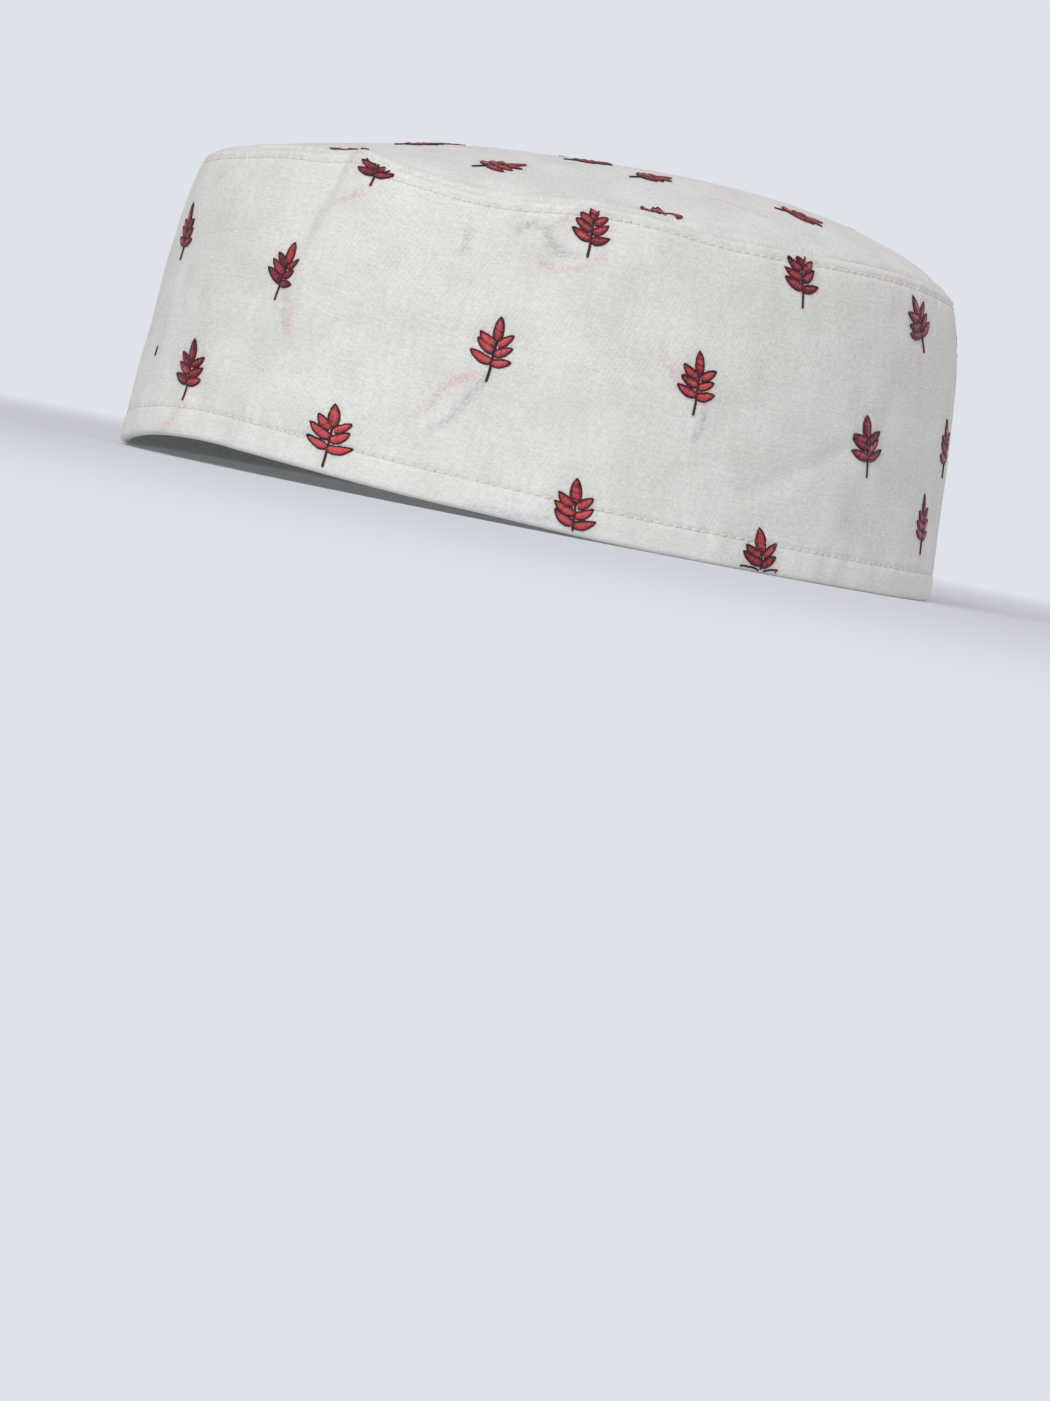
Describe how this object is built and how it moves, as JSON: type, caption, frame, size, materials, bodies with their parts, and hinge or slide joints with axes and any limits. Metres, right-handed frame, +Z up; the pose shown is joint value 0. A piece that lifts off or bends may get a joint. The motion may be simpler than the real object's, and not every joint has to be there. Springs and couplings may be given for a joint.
{
  "type": "embroidered skullcap",
  "caption": "Soft pillbox skullcap of off-white cotton twill: oval domed crown sewn to a tapered side band with a stitched hem, sprinkled with embroidered red leaf sprigs.",
  "frame": {"origin": "on the surface the cap stands on, under the middle of its rim", "axes": "+Z up through the crown, -Y towards the front of the cap, +X towards the wearer's left"},
  "size_m": [0.172, 0.204, 0.0872],
  "materials": {
    "band_twill": "matt off-white cotton twill with small embroidered red leaf sprigs",
    "crown_twill": "matt off-white cotton twill with small embroidered red leaf sprigs"
  },
  "bodies": {
    "root": {"band": "band_twill", "crown": "crown_twill"}
  },
  "joints": []
}
